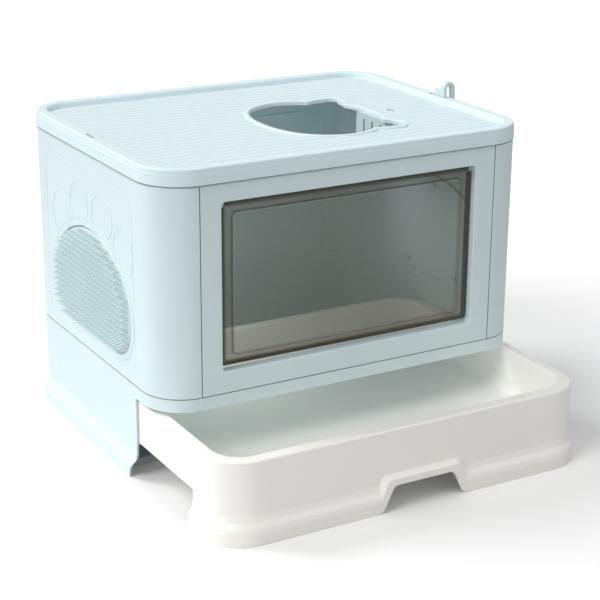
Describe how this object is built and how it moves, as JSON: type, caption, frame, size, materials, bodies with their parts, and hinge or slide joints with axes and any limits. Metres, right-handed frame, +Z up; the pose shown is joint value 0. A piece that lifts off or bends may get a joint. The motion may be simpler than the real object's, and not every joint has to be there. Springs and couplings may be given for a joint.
{
  "type": "drawer litter box",
  "caption": "Enclosed cat litter box with a lift-off lid and top way in, a smoked swing flap at the front, side brush pads, a scoop on the rim and a slide-out drawer.",
  "frame": {"origin": "on the floor, under the middle of the cabinet", "axes": "+X to the right seen from the front, +Y to the back, +Z up"},
  "size_m": [0.5638, 0.5514, 0.4135],
  "materials": {
    "cabinet_plastic": "fine satin, pale blue-grey",
    "lid_plastic": "fine satin, pale blue",
    "cover_plastic": "fine satin, pale green-blue",
    "drawer_plastic": "fine satin, warm white",
    "smoked_plastic": "clear smoked grey, polished",
    "brush_plastic": "soft moulded bristles, pale grey-green",
    "pin_plastic": "plain moulded pins",
    "pack_cloth": "dark cloth round charcoal",
    "scoop_plastic": "fine satin, pale blue"
  },
  "bodies": {
    "cabinet": {"base_frame": "cabinet_plastic", "left_side_panel": "cabinet_plastic", "right_side_panel": "cabinet_plastic", "front_panel": "cabinet_plastic", "back_panel": "cabinet_plastic", "flap_hinge_pins": "pin_plastic"},
    "flap": {"flap_door": "smoked_plastic"},
    "drawer": {"drawer": "drawer_plastic"},
    "lid": {"lid": "lid_plastic", "filter_box": "lid_plastic", "carbon_pack": "pack_cloth"},
    "filter_cover": {"filter_cover": "cover_plastic"},
    "scoop": {"scoop": "scoop_plastic"},
    "left_brush": {"left_brush": "brush_plastic"},
    "right_brush": {"right_brush": "brush_plastic"}
  },
  "joints": [
    {"name": "flap_swing", "type": "hinge", "parent": "cabinet", "child": "flap", "pos_m": [0, -0.1896, 0.3462], "axis": [1, 0, 0], "range_deg": [-75, 75]},
    {"name": "drawer_slide", "type": "slide", "parent": "cabinet", "child": "drawer", "axis": [0, -1, 0], "range_m": [-0.142, 0.25]},
    {"name": "lid_lift", "type": "slide", "parent": "cabinet", "child": "lid", "axis": [0, 0, 1], "range_m": [0, 0.3]},
    {"name": "filter_cover_lift", "type": "slide", "parent": "lid", "child": "filter_cover", "axis": [0, 0, 1], "range_m": [0, 0.1]},
    {"name": "scoop_lift", "type": "slide", "parent": "lid", "child": "scoop", "axis": [0, 0, 1], "range_m": [0, 0.3]},
    {"name": "left_brush_pull", "type": "slide", "parent": "cabinet", "child": "left_brush", "axis": [-1, 0, 0], "range_m": [0, 0.03]},
    {"name": "right_brush_pull", "type": "slide", "parent": "cabinet", "child": "right_brush", "axis": [1, 0, 0], "range_m": [0, 0.006]}
  ]
}
